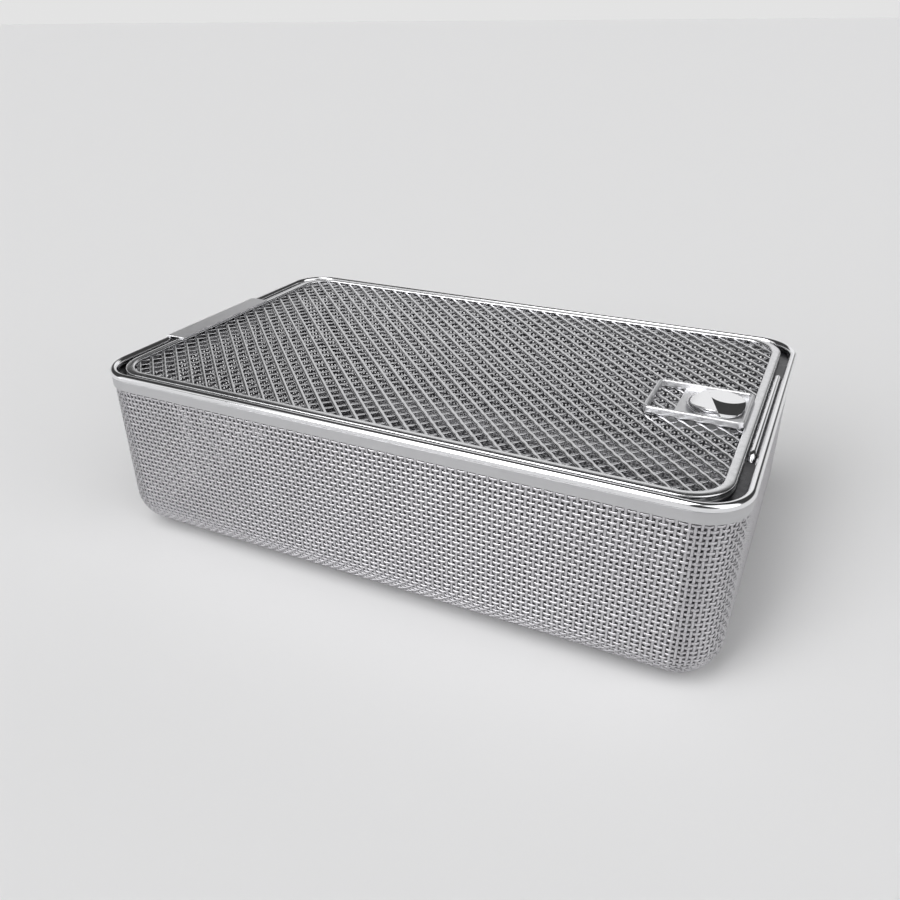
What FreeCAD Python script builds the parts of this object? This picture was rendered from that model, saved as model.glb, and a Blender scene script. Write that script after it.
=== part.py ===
import FreeCAD, Part
import math
import os

# Lidded instrument basket in stainless steel, in millimetres.
# X runs along the basket to the latch end, Y across it, Z up.
# The origin is the centre of the underside of the floor.

# Overall size over the rim
LENGTH = 240.0
WIDTH = 145.0
HEIGHT = 69.0
CORNER_R = 16.0

# Round bead that forms the rim's top edge
BEAD_D = 3.0

# Mesh pan: two layers of wires, the outer face set in from the rim
WALL_INSET = 1.0
BEND_R = 15.0
PAN_PITCH = 8.0
HOOP_PITCH = 16.0
PAN_WIRE_W = 1.0
PAN_WIRE_T = 0.5

# Strips that clamp the top edge of the mesh
OUTER_BAND_T = 0.5
OUTER_BAND_H = 3.4
INNER_BAND_T = 0.5
INNER_BAND_H = 3.0
BEAD_SEAT = 0.2

# Flat inner ledges at the two ends, each with a skirt folded down
LEDGE_T = 0.8
LEDGE_BEAD_GAP = 0.1
LEDGE_LAP = 3.9
SKIRT_T = 0.7
SKIRT_H = 7.0
SKIRT_CORNER_GAP = 2.0

# Lid: two frame strips with two diagonal wire layers between them
LID_END_CHANNEL = 6.2
LID_SIDE_GAP = 0.4
LID_CORNER_R = 14.5
FRAME_W = 3.2
FRAME_T = 0.9
FRAME_OVERHANG = 0.4
LID_PITCH = 4.56
LID_WIRE_W = 1.2
LID_WIRE_T = 0.6
LID_WIRE_ANGLE = 45.0
SMALLEST_GAP = 1.5

# Hinge strap curled around the bead at the left end
STRAP_W = 56.0
STRAP_Y = -4.0
STRAP_T = 0.6
HINGE_CLEAR = 0.06
CURL_END_DEG = 320.0
WINDOW_SIDE_GAP = 0.8
WINDOW_GAP = 0.6

# Latch on the lid near the right end
HOUSING_L = 33.0
HOUSING_W = 26.0
LATCH_Y = -6.5
HOUSING_H = 2.6
HOUSING_T = 1.2
LATCH_PLATE_L = 22.0
LATCH_PLATE_T = 0.6
LATCH_TRAVEL = 6.0

# Sliding parts of the latch
TAB_R = 9.0
TAB_T = 2.6
TAB_EDGE_R = 0.8
DISH_R = 6.8
DISH_DEPTH = 1.8
SLIDE_GAP = 0.3
POST_L = 4.0
POST_W = 6.0
POST_CLEAR = 0.5
BOLT_W = 14.0
BOLT_T = 1.0
BOLT_L = 30.5
BOLT_BITE = 4.6
BOLT_DROP = 0.36
GUIDE_L = 18.0
GUIDE_T = 1.0
GUIDE_LIP = 1.2
GUIDE_CLEAR = 0.2
SPRING_D = 0.9
SPRING_RISE = 1.4
SPRING_OPEN_DEG = 115.0

# Lifting handle that drops into the channel at the latch end
HANDLE_D = 2.2
HANDLE_SPAN = 70.0
HANDLE_BEND_R = 3.0
HANDLE_REST_GAP = 0.24
HANDLE_TRAVEL = 28.0
STOP_R = 1.6
STOP_H = 2.0
LEG_HOLE_CLEAR = 0.3
GUIDE_BLOCK_W = 4.4
GUIDE_BLOCK_H = 8.0
GUIDE_BLOCK_WALL = 0.7
LEG_CLEAR = 0.06

# Values that follow from the sizes above
BEAD_R = BEAD_D / 2
BEAD_Z = HEIGHT - BEAD_R
PAN_T = 2 * PAN_WIRE_T
PAN_HALF_L = LENGTH / 2 - WALL_INSET
PAN_HALF_W = WIDTH / 2 - WALL_INSET
PAN_CORNER_R = CORNER_R - WALL_INSET
WALL_TOP = HEIGHT - BEAD_D - BEAD_SEAT
FLAT_HALF_L = PAN_HALF_L - PAN_CORNER_R
FLAT_HALF_W = PAN_HALF_W - PAN_CORNER_R
INNER_BAND_INSET = WALL_INSET + PAN_T
SKIRT_INSET = INNER_BAND_INSET + INNER_BAND_T

LID_TOP = HEIGHT + HINGE_CLEAR
LID_WIRES_TOP = LID_TOP - FRAME_T
LID_WIRES_MID = LID_WIRES_TOP - LID_WIRE_T
LID_WIRES_BOTTOM = LID_WIRES_MID - LID_WIRE_T
LID_BOTTOM = LID_WIRES_BOTTOM - FRAME_T
LID_HALF_L = LENGTH / 2 - LID_END_CHANNEL
LID_HALF_W = WIDTH / 2 - BEAD_D - LID_SIDE_GAP

LEDGE_BOTTOM = LID_BOTTOM - LEDGE_T
LEDGE_INNER_X = LID_HALF_L - LEDGE_LAP

HINGE_X = -(LENGTH / 2 - BEAD_R)
CURL_IN_R = BEAD_R + HINGE_CLEAR
CURL_OUT_R = CURL_IN_R + STRAP_T
WINDOW_HALF_W = STRAP_W / 2 + WINDOW_SIDE_GAP
WINDOW_BOTTOM = BEAD_Z - CURL_OUT_R - WINDOW_GAP
WINDOW_INNER_X = HINGE_X + CURL_OUT_R + WINDOW_GAP

HOUSING_RIGHT = LID_HALF_L - FRAME_W
HOUSING_LEFT = HOUSING_RIGHT - HOUSING_L
PLATE_TOP = LID_WIRES_TOP + LATCH_PLATE_T
PLATE_RIGHT = HOUSING_RIGHT - HOUSING_T
PLATE_LEFT = PLATE_RIGHT - LATCH_PLATE_L
TAB_X = PLATE_RIGHT - TAB_R - SLIDE_GAP
TAB_BOTTOM = PLATE_TOP + SLIDE_GAP
TAB_TOP = TAB_BOTTOM + TAB_T
BOLT_TOP = LEDGE_BOTTOM - BOLT_DROP
BOLT_BOTTOM = BOLT_TOP - BOLT_T
BOLT_TIP = LEDGE_INNER_X + BOLT_BITE
BOLT_TAIL = BOLT_TIP - BOLT_L
POST_RIGHT = TAB_X + POST_L / 2
POST_LEFT = TAB_X - POST_L / 2
SLOT_LEFT = POST_LEFT - LATCH_TRAVEL - POST_CLEAR
SLOT_RIGHT = POST_RIGHT + POST_CLEAR
SLOT_HALF_W = POST_W / 2 + POST_CLEAR

HANDLE_X = LENGTH / 2 - (BEAD_D + LID_END_CHANNEL) / 2
HANDLE_Z = LID_BOTTOM + HANDLE_REST_GAP + HANDLE_D / 2
BLOCK_TOP = HANDLE_Z - HANDLE_BEND_R - SLIDE_GAP
BLOCK_BOTTOM = BLOCK_TOP - GUIDE_BLOCK_H
STOP_TOP = BLOCK_BOTTOM - HANDLE_TRAVEL - SLIDE_GAP
LEG_BOTTOM = STOP_TOP - STOP_H

# Tool bodies reach this far past the faces that they cut
PAST = 1.0


def vec(x, y, z=0.0):
    return FreeCAD.Vector(x, y, z)


def export(name, solids):
    """Write one sub-part: a single solid, or a group of separate solids."""
    shape = solids[0] if len(solids) == 1 else Part.makeCompound(solids)
    shape.exportStep("parts/" + name + ".step")


def box(x0, x1, y0, y1, z0, z1):
    """Box between two values on each axis."""
    return Part.makeBox(x1 - x0, y1 - y0, z1 - z0, vec(x0, y0, z0))


def round_rect(half_l, half_w, radius, z=0.0):
    """Closed wire of a rectangle with round corners, centred on the Z axis."""
    cx = half_l - radius
    cy = half_w - radius
    diagonal = radius / math.sqrt(2)
    edges = []
    for sx, sy in ((1, 1), (-1, 1), (-1, -1), (1, -1)):
        on_x = vec(sx * half_l, sy * cy, z)
        on_y = vec(sx * cx, sy * half_w, z)
        middle = vec(sx * (cx + diagonal), sy * (cy + diagonal), z)
        first, last = (on_x, on_y) if sx == sy else (on_y, on_x)
        if edges:
            edges.append(Part.LineSegment(edges[-1].lastVertex().Point, first).toShape())
        edges.append(Part.Arc(first, middle, last).toShape())
    edges.append(Part.LineSegment(edges[-1].lastVertex().Point, edges[0].firstVertex().Point).toShape())
    return Part.Wire(edges)


def rim_face(inset, z=0.0):
    """Face of the rim's outline, set in by a distance."""
    return Part.Face(round_rect(LENGTH / 2 - inset, WIDTH / 2 - inset, CORNER_R - inset, z))


def lid_face(inset, z=0.0):
    """Face of the lid's outline, set in by a distance."""
    return Part.Face(round_rect(LID_HALF_L - inset, LID_HALF_W - inset, LID_CORNER_R - inset, z))


def rect_face(half_a, low, high):
    """Upright rectangle in the XY plane: half_a each way in X, from low to high in Y."""
    corners = [vec(-half_a, low), vec(half_a, low), vec(half_a, high), vec(-half_a, high)]
    return Part.Face(Part.makePolygon(corners + corners[:1]))


def gap_strips(reach, pitch, wire_w, angle):
    """Long strips between parallel wires that run along a direction; a wire crosses the origin."""
    strips = []
    count = math.ceil(reach / pitch)
    half = (pitch - wire_w) / 2
    for k in range(-count, count):
        middle = (k + 0.5) * pitch
        strip = Part.Face(Part.makePolygon([
            vec(-reach, middle - half),
            vec(reach, middle - half),
            vec(reach, middle + half),
            vec(-reach, middle + half),
            vec(-reach, middle - half)]))
        strip.rotate(vec(0, 0), vec(0, 0, 1), angle)
        strips.append(strip)
    return Part.makeCompound(strips)


def wire_layer(outline, opening, pitch, wire_w, angle, thickness, z):
    """Layer of parallel wires joined by a border, with gaps inside the opening."""
    reach = outline.BoundBox.DiagonalLength
    gaps = opening.common(gap_strips(reach, pitch, wire_w, angle))
    kept = [face for face in gaps.Faces if face.Area > SMALLEST_GAP]
    layer = outline.cut(Part.makeCompound(kept))
    layer.translate(vec(0, 0, z))
    return layer.extrude(vec(0, 0, thickness)).Solids[0]


def flat_mesh(outline, opening, lower_angle):
    """Two crossed wire layers of the pan, stacked from z = 0."""
    lower = wire_layer(outline, opening, PAN_PITCH, PAN_WIRE_W, lower_angle, PAN_WIRE_T, 0)
    upper = wire_layer(outline, opening, PAN_PITCH, PAN_WIRE_W, 90 - lower_angle, PAN_WIRE_T, PAN_WIRE_T)
    return [lower, upper]


def shifted(solids, y):
    """Copies of solids moved along Y."""
    out = []
    for solid in solids:
        piece = solid.copy()
        piece.translate(vec(0, y))
        out.append(piece)
    return out


def placed(solids, x_to, y_to, z_to, offset, turn=0):
    """Copies of solids with their axes laid along new directions, moved, then turned about Z."""
    place = FreeCAD.Placement(offset, FreeCAD.Rotation(x_to, y_to, z_to, "XYZ"))
    spin = FreeCAD.Placement(vec(0, 0), FreeCAD.Rotation(vec(0, 0, 1), turn))
    out = []
    for solid in solids:
        piece = solid.copy()
        piece.Placement = spin.multiply(place).multiply(piece.Placement)
        out.append(piece)
    return out


def make_floor():
    """Flat floor between the bends: lower wires across, upper wires along."""
    outline = rect_face(FLAT_HALF_L, -FLAT_HALF_W, FLAT_HALF_W)
    opening = rect_face(FLAT_HALF_L - PAN_WIRE_W, PAN_WIRE_W - FLAT_HALF_W, FLAT_HALF_W - PAN_WIRE_W)
    return flat_mesh(outline, opening, 90)


def make_wall(half_a, reach, turn, notched=False):
    """Upright wall panel, its outer wires upright; a notch at the top clears the hinge."""
    outline = rect_face(half_a, BEND_R, WALL_TOP)
    opening = rect_face(half_a - PAN_WIRE_W, BEND_R + PAN_WIRE_W, WALL_TOP - PAN_WIRE_W)
    if notched:
        notch = rect_face(WINDOW_HALF_W, WINDOW_BOTTOM, HEIGHT)
        border = rect_face(WINDOW_HALF_W + PAN_WIRE_W, WINDOW_BOTTOM - PAN_WIRE_W, HEIGHT)
        notch.translate(vec(-STRAP_Y, 0))
        border.translate(vec(-STRAP_Y, 0))
        outline = outline.cut(notch)
        opening = opening.cut(border)
    panel = flat_mesh(outline, opening, 0)
    return placed(panel, vec(1, 0), vec(0, 0, 1), vec(0, -1), vec(0, PAN_T - reach), turn)


def sector(r_in, r_out, from_deg, to_deg, z0, z1):
    """Part of a tube about the Z axis between two angles and two heights."""
    corners = [vec(r_in, 0, z0), vec(r_out, 0, z0), vec(r_out, 0, z1), vec(r_in, 0, z1)]
    face = Part.Face(Part.makePolygon(corners + corners[:1]))
    face.rotate(vec(0, 0), vec(0, 0, 1), from_deg)
    return face.revolve(vec(0, 0), vec(0, 0, 1), to_deg - from_deg)


def wires_between(low, high, pitch, wire_w):
    """Spans of wires from low to high: one flush with each end, the rest a pitch apart between."""
    count = max(1, round((high - low - wire_w) / pitch))
    step = (high - low - wire_w) / count
    return [(low + k * step, low + k * step + wire_w) for k in range(count + 1)]


def joined(strips):
    """One solid from strips that cross."""
    return strips[0].fuse(strips[1:]).Solids[0]


def arc_mesh(radius, low, high):
    """Quarter tube of mesh about Z: bars along it outside, hoops round it inside, both bordered."""
    r_mid = radius - PAN_WIRE_T
    r_in = radius - PAN_T
    bars = wires_between(0, 90, math.degrees(PAN_PITCH / radius), math.degrees(PAN_WIRE_W / radius))
    hoops = wires_between(low, high, HOOP_PITCH, PAN_WIRE_W)
    outer = [sector(r_mid, radius, a, b, low, high) for a, b in bars]
    outer += [sector(r_mid, radius, 0, 90, z0, z1) for z0, z1 in (hoops[0], hoops[-1])]
    inner = [sector(r_in, r_mid, 0, 90, z0, z1) for z0, z1 in hoops]
    inner += [sector(r_in, r_mid, a, b, low, high) for a, b in (bars[0], bars[-1])]
    return [joined(outer), joined(inner)]


def make_corners():
    """Four upright quarter-round corners of the pan."""
    out = []
    for k in range(4):
        turn = 90 * k
        cx = FLAT_HALF_L if k in (0, 3) else -FLAT_HALF_L
        cy = FLAT_HALF_W if k in (0, 1) else -FLAT_HALF_W
        for piece in arc_mesh(PAN_CORNER_R, BEND_R, WALL_TOP):
            piece.rotate(vec(0, 0), vec(0, 0, 1), turn)
            piece.translate(vec(cx, cy))
            out.append(piece)
    return out


def make_bends():
    """Quarter-round lower edges along the four walls."""
    out = []
    for half_a, reach, turn in ((FLAT_HALF_L, FLAT_HALF_W, 0), (FLAT_HALF_W, FLAT_HALF_L, 90)):
        bend = arc_mesh(BEND_R, -half_a, half_a)
        for side in (turn, turn + 180):
            out += placed(bend, vec(0, -1), vec(0, 0, -1), vec(1, 0), vec(0, -reach, BEND_R), side)
    return out


def ball_piece(r_in, r_out, down_from, down_to, from_deg, to_deg):
    """Part of a hollow ball: between two angles below the equator, turned about Z."""
    def point(radius, down):
        angle = math.radians(down)
        return vec(radius * math.cos(angle), 0, -radius * math.sin(angle))

    middle = (down_from + down_to) / 2
    edges = [
        Part.Arc(point(r_out, down_from), point(r_out, middle), point(r_out, down_to)).toShape(),
        Part.LineSegment(point(r_out, down_to), point(r_in, down_to)).toShape(),
        Part.Arc(point(r_in, down_to), point(r_in, middle), point(r_in, down_from)).toShape(),
        Part.LineSegment(point(r_in, down_from), point(r_out, down_from)).toShape()]
    face = Part.Face(Part.Wire(edges))
    face.rotate(vec(0, 0), vec(0, 0, 1), from_deg)
    return face.revolve(vec(0, 0), vec(0, 0, 1), to_deg - from_deg)


def make_bottom_corners():
    """Four eighths of a ball where the bends meet: bars run down outside, rings lie inside."""
    r_mid = BEND_R - PAN_WIRE_T
    r_in = BEND_R - PAN_T
    spans = wires_between(0, 90, math.degrees(PAN_PITCH / BEND_R), math.degrees(PAN_WIRE_W / BEND_R))
    pole = spans[-2][0]
    outer = [ball_piece(r_mid, BEND_R, 0, pole, a, b) for a, b in spans]
    outer += [ball_piece(r_mid, BEND_R, *spans[0], 0, 90), ball_piece(r_mid, BEND_R, pole, 90, 0, 90)]
    inner = [ball_piece(r_in, r_mid, a, b, 0, 90) for a, b in spans[:-2]]
    inner += [ball_piece(r_in, r_mid, 0, pole, *spans[0]), ball_piece(r_in, r_mid, 0, pole, *spans[-1])]
    inner.append(ball_piece(r_in, r_mid, pole, 90, 0, 90))
    eighth = [joined(outer), joined(inner)]
    out = []
    for k in range(4):
        cx = FLAT_HALF_L if k in (0, 3) else -FLAT_HALF_L
        cy = FLAT_HALF_W if k in (0, 1) else -FLAT_HALF_W
        for solid in eighth:
            piece = solid.copy()
            piece.rotate(vec(0, 0), vec(0, 0, 1), 90 * k)
            piece.translate(vec(cx, cy, BEND_R))
            out.append(piece)
    return out


def hinge_window():
    """Space around the curl that is cut out of what lies under the left rim."""
    low = STRAP_Y - WINDOW_HALF_W
    high = STRAP_Y + WINDOW_HALF_W
    return box(-LENGTH, WINDOW_INNER_X, low, high, WINDOW_BOTTOM, HEIGHT + PAST)


def round_bar(edges, radius):
    """Round wire along edges that are straight or circular."""
    pieces = []
    for edge in edges:
        start = edge.valueAt(edge.FirstParameter)
        end = edge.valueAt(edge.LastParameter)
        circle = Part.makeCircle(radius, start, edge.tangentAt(edge.FirstParameter))
        disc = Part.Face(Part.Wire([circle]))
        if edge.Curve.TypeId == "Part::GeomLine":
            pieces.append(disc.extrude(end - start))
        else:
            angle = math.degrees(edge.LastParameter - edge.FirstParameter)
            pieces.append(disc.revolve(edge.Curve.Center, edge.Curve.Axis, angle))
    return pieces[0].fuse(pieces[1:]).removeSplitter()


def make_bead():
    """Round bead carried along the rim's outline."""
    path = round_rect(LENGTH / 2 - BEAD_R, WIDTH / 2 - BEAD_R, CORNER_R - BEAD_R, BEAD_Z)
    return [round_bar(path.Edges, BEAD_R).Solids[0]]


def rim_strip(inset, thickness, height):
    """Upright strip that follows the rim's outline below the bead, open at the hinge."""
    low = WALL_TOP - height
    ring = rim_face(inset, low).cut(rim_face(inset + thickness, low))
    strip = ring.extrude(vec(0, 0, height))
    return [strip.cut(hinge_window()).Solids[0]]


def make_outer_band():
    """Plain strip that clamps the mesh from outside."""
    return rim_strip(WALL_INSET - OUTER_BAND_T, OUTER_BAND_T, OUTER_BAND_H)


def make_inner_band():
    """Plain strip that clamps the mesh from inside."""
    return rim_strip(INNER_BAND_INSET, INNER_BAND_T, INNER_BAND_H)


def ledge_plate():
    """Flat plate under the lid's end, its outer edge close to the bead."""
    face = rim_face(BEAD_D - LEDGE_BEAD_GAP, LEDGE_BOTTOM)
    plate = face.extrude(vec(0, 0, LEDGE_T))
    return plate.common(box(LEDGE_INNER_X, LENGTH, -WIDTH, WIDTH, 0, HEIGHT))


def mirrored_x(shape):
    """Copy of a shape on the other side of the YZ plane."""
    return shape.mirror(vec(0, 0), vec(1, 0))


def make_latch_ledge():
    """Right ledge, with a slot at each leg of the handle for its bend."""
    plate = ledge_plate()
    radius = HANDLE_D / 2 + LEG_HOLE_CLEAR
    outer_y = HANDLE_SPAN / 2
    inner_y = outer_y - HANDLE_BEND_R
    for side in (-1, 1):
        low, high = sorted((side * inner_y, side * outer_y))
        slot = box(HANDLE_X - radius, HANDLE_X + radius, low, high, LEDGE_BOTTOM - PAST, LID_BOTTOM + PAST)
        for y in (low, high):
            end = Part.makeCylinder(radius, LEDGE_T + 2 * PAST, vec(HANDLE_X, y, LEDGE_BOTTOM - PAST))
            slot = slot.fuse(end)
        plate = plate.cut(slot)
    return [plate.Solids[0]]


def make_hinge_ledge():
    """Left ledge, cut back where the curl turns."""
    return [mirrored_x(ledge_plate()).cut(hinge_window()).Solids[0]]


def skirt():
    """Flange folded down from the right ledge against the inner band."""
    outer = LENGTH / 2 - SKIRT_INSET
    half = WIDTH / 2 - CORNER_R - SKIRT_CORNER_GAP
    return box(outer - SKIRT_T, outer, -half, half, LEDGE_BOTTOM - SKIRT_H, LEDGE_BOTTOM)


def make_latch_skirt():
    """Flange of the right ledge."""
    return [skirt()]


def make_hinge_skirt():
    """Flange of the left ledge, open at the hinge."""
    return [mirrored_x(skirt()).cut(hinge_window()).Solids[0]]


def make_guide_blocks():
    """Two bored blocks under the right ledge in which the handle's legs slide."""
    out = []
    outer = LENGTH / 2 - SKIRT_INSET - SKIRT_T
    bore = HANDLE_D / 2 + LEG_CLEAR
    inner = HANDLE_X - bore - GUIDE_BLOCK_WALL
    half = GUIDE_BLOCK_W / 2
    for side in (-1, 1):
        y = side * HANDLE_SPAN / 2
        block = box(inner, outer, y - half, y + half, BLOCK_BOTTOM, BLOCK_TOP)
        hole = Part.makeCylinder(bore, GUIDE_BLOCK_H + 2 * PAST, vec(HANDLE_X, y, BLOCK_BOTTOM - PAST))
        out.append(block.cut(hole))
    return out


def make_handle():
    """Wire bar with two bends and two legs, each leg with a stop collar at its foot."""
    half = HANDLE_SPAN / 2
    bend = HANDLE_BEND_R
    inside = bend * (1 - math.sqrt(0.5))
    corner_z = HANDLE_Z - bend
    bar_end = vec(HANDLE_X, half - bend, HANDLE_Z)
    edges = [Part.LineSegment(vec(HANDLE_X, bend - half, HANDLE_Z), bar_end).toShape()]
    collars = []
    for side in (-1, 1):
        low = vec(HANDLE_X, side * half, corner_z)
        middle = vec(HANDLE_X, side * (half - inside), HANDLE_Z - inside)
        high = vec(HANDLE_X, side * (half - bend), HANDLE_Z)
        foot = vec(HANDLE_X, side * half, LEG_BOTTOM)
        edges.append(Part.Arc(low, middle, high).toShape())
        edges.append(Part.LineSegment(foot, low).toShape())
        collars.append(Part.makeCylinder(STOP_R, STOP_H, foot))
    return [round_bar(edges, HANDLE_D / 2).fuse(collars).removeSplitter().Solids[0]]


def lid_strip(z):
    """Flat frame strip with round corners."""
    ring = lid_face(0, z).cut(lid_face(FRAME_W, z))
    return [ring.extrude(vec(0, 0, FRAME_T)).Solids[0]]


def lid_wires(z, angle):
    """One diagonal wire layer of the lid, with a bordered slot for the latch's post."""
    slot = rect_at(SLOT_LEFT, SLOT_RIGHT, SLOT_HALF_W)
    slot_border = rect_at(SLOT_LEFT - LID_WIRE_W, SLOT_RIGHT + LID_WIRE_W, SLOT_HALF_W + LID_WIRE_W)
    outline = lid_face(FRAME_OVERHANG).cut(slot)
    opening = lid_face(FRAME_W).cut(slot_border)
    return [wire_layer(outline, opening, LID_PITCH, LID_WIRE_W, angle, LID_WIRE_T, z)]


def rect_at(x0, x1, half_w):
    """Flat rectangle from x0 to x1, centred on the latch's line."""
    low = LATCH_Y - half_w
    high = LATCH_Y + half_w
    corners = [vec(x0, low), vec(x1, low), vec(x1, high), vec(x0, high)]
    return Part.Face(Part.makePolygon(corners + corners[:1]))


def make_strap():
    """Flat tongue on the lid frame whose end curls round the bead."""
    def point(radius, degrees):
        angle = math.radians(degrees)
        return vec(HINGE_X + radius * math.cos(angle), -STRAP_W / 2, BEAD_Z + radius * math.sin(angle))

    middle = (90 + CURL_END_DEG) / 2
    end_x = -LID_HALF_L + FRAME_W
    end_low = vec(end_x, -STRAP_W / 2, LID_TOP)
    end_high = vec(end_x, -STRAP_W / 2, LID_TOP + STRAP_T)
    edges = [
        Part.LineSegment(end_high, point(CURL_OUT_R, 90)).toShape(),
        Part.Arc(point(CURL_OUT_R, 90), point(CURL_OUT_R, middle), point(CURL_OUT_R, CURL_END_DEG)).toShape(),
        Part.LineSegment(point(CURL_OUT_R, CURL_END_DEG), point(CURL_IN_R, CURL_END_DEG)).toShape(),
        Part.Arc(point(CURL_IN_R, CURL_END_DEG), point(CURL_IN_R, middle), point(CURL_IN_R, 90)).toShape(),
        Part.LineSegment(point(CURL_IN_R, 90), end_low).toShape(),
        Part.LineSegment(end_low, end_high).toShape()]
    return shifted([Part.Face(Part.Wire(edges)).extrude(vec(0, STRAP_W, 0))], STRAP_Y)


def make_housing():
    """Raised rectangular frame around the latch, standing on the lid's wires."""
    half = HOUSING_W / 2
    outer = box(HOUSING_LEFT, HOUSING_RIGHT, -half, half, LID_WIRES_TOP, LID_WIRES_TOP + HOUSING_H)
    inner = box(HOUSING_LEFT + HOUSING_T, HOUSING_RIGHT - HOUSING_T, HOUSING_T - half, half - HOUSING_T,
                LID_WIRES_TOP - PAST, LID_WIRES_TOP + HOUSING_H + PAST)
    return [outer.cut(inner)]


def make_latch_plate():
    """Smooth plate on the wires in the right part of the housing, slotted for the post."""
    half = HOUSING_W / 2 - HOUSING_T
    plate = box(PLATE_LEFT, PLATE_RIGHT, -half, half, LID_WIRES_TOP, PLATE_TOP)
    slot = box(SLOT_LEFT, SLOT_RIGHT, -SLOT_HALF_W, SLOT_HALF_W, LID_WIRES_TOP - PAST, PLATE_TOP + PAST)
    return [plate.cut(slot)]


def make_bolt_guides():
    """Two angle strips under the lid that carry the bolt's edges."""
    out = []
    web_y = BOLT_W / 2 + GUIDE_CLEAR
    lip_top = BOLT_BOTTOM - GUIDE_CLEAR
    lip_bottom = lip_top - GUIDE_T
    middle = TAB_X - LATCH_TRAVEL / 2
    x0 = middle - GUIDE_L / 2
    x1 = middle + GUIDE_L / 2
    for side in (-1, 1):
        low, high = sorted((side * web_y, side * (web_y + GUIDE_T)))
        web = box(x0, x1, low, high, lip_bottom, LID_WIRES_BOTTOM)
        low, high = sorted((side * (web_y - GUIDE_LIP), side * web_y))
        lip = box(x0, x1, low, high, lip_bottom, lip_top)
        out.append(web.fuse(lip).removeSplitter().Solids[0])
    return out


def make_spring():
    """Wire bow around the left half of the tab, its legs running out to the housing's sides."""
    radius = TAB_R + SLIDE_GAP + SPRING_D / 2
    z = LID_WIRES_TOP + SPRING_RISE
    angle = math.radians(SPRING_OPEN_DEG)
    near_x = TAB_X + radius * math.cos(angle)
    near_y = radius * math.sin(angle)
    wall_y = HOUSING_W / 2 - HOUSING_T
    far_y = wall_y + SPRING_D
    far_x = near_x - (far_y - near_y) * math.tan(angle)
    edges = [Part.Arc(vec(near_x, -near_y, z), vec(TAB_X - radius, 0, z), vec(near_x, near_y, z)).toShape()]
    for side in (-1, 1):
        near = vec(near_x, side * near_y, z)
        edges.append(Part.LineSegment(near, vec(far_x, side * far_y, z)).toShape())
    room = box(HOUSING_LEFT, HOUSING_RIGHT, -wall_y, wall_y, LID_WIRES_TOP, LID_WIRES_TOP + HOUSING_H)
    return [round_bar(edges, SPRING_D / 2).common(room).Solids[0]]


def make_bolt():
    """Flat bolt under the lid; its tongue reaches under the right ledge."""
    half = BOLT_W / 2
    plate = box(BOLT_TAIL, BOLT_TIP, -half, half, BOLT_BOTTOM, BOLT_TOP)
    tip = [edge for edge in plate.Edges if on_tip(edge)]
    return [plate.makeChamfer(BOLT_T / 2, tip)]


def on_tip(edge):
    """Whether an edge is the upper edge of the bolt's tip."""
    middle = edge.BoundBox.Center
    return middle.x > BOLT_TIP - BOLT_T and middle.z > BOLT_TOP - BOLT_T / 4 and edge.Length > BOLT_W / 2


def make_post():
    """Block through the slot that joins the bolt to the tab."""
    half = POST_W / 2
    return [box(POST_LEFT, POST_RIGHT, -half, half, BOLT_TOP, TAB_BOTTOM)]


def make_tab():
    """Round thumb tab with a soft upper edge and a dished top."""
    disc = Part.makeCylinder(TAB_R, TAB_T, vec(TAB_X, 0, TAB_BOTTOM))
    rim = [edge for edge in disc.Edges if edge.BoundBox.ZMin > TAB_BOTTOM + TAB_T / 2]
    disc = disc.makeFillet(TAB_EDGE_R, rim)
    ball_r = (DISH_R ** 2 + DISH_DEPTH ** 2) / (2 * DISH_DEPTH)
    ball = Part.makeSphere(ball_r, vec(TAB_X, 0, TAB_TOP - DISH_DEPTH + ball_r))
    return [disc.cut(ball).Solids[0]]


def build():
    """Make every sub-part in its place and write it."""
    os.makedirs("parts", exist_ok=True)
    export("floor_mesh", make_floor())
    export("front_wall_mesh", make_wall(FLAT_HALF_L, PAN_HALF_W, 0))
    export("back_wall_mesh", make_wall(FLAT_HALF_L, PAN_HALF_W, 180))
    export("latch_end_wall_mesh", make_wall(FLAT_HALF_W, PAN_HALF_L, 90))
    export("hinge_end_wall_mesh", make_wall(FLAT_HALF_W, PAN_HALF_L, 270, True))
    export("corner_mesh", make_corners())
    export("bottom_bend_mesh", make_bends())
    export("bottom_corner_mesh", make_bottom_corners())
    export("rim_bead", make_bead())
    export("outer_rim_band", make_outer_band())
    export("inner_rim_band", make_inner_band())
    export("latch_ledge", make_latch_ledge())
    export("latch_ledge_skirt", make_latch_skirt())
    export("hinge_ledge", make_hinge_ledge())
    export("hinge_ledge_skirt", make_hinge_skirt())
    export("handle_guide_blocks", make_guide_blocks())
    export("lid_frame_upper", lid_strip(LID_WIRES_TOP))
    export("lid_frame_lower", lid_strip(LID_BOTTOM))
    export("lid_mesh_upper", lid_wires(LID_WIRES_MID, -LID_WIRE_ANGLE))
    export("lid_mesh_lower", lid_wires(LID_WIRES_BOTTOM, LID_WIRE_ANGLE))
    export("hinge_strap", make_strap())
    export("latch_housing", shifted(make_housing(), LATCH_Y))
    export("latch_plate", shifted(make_latch_plate(), LATCH_Y))
    export("bolt_guides", shifted(make_bolt_guides(), LATCH_Y))
    export("latch_spring", shifted(make_spring(), LATCH_Y))
    export("slide_bolt", shifted(make_bolt(), LATCH_Y))
    export("slide_post", shifted(make_post(), LATCH_Y))
    export("thumb_tab", shifted(make_tab(), LATCH_Y))
    export("handle", make_handle())


build()
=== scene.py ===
import math

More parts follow.
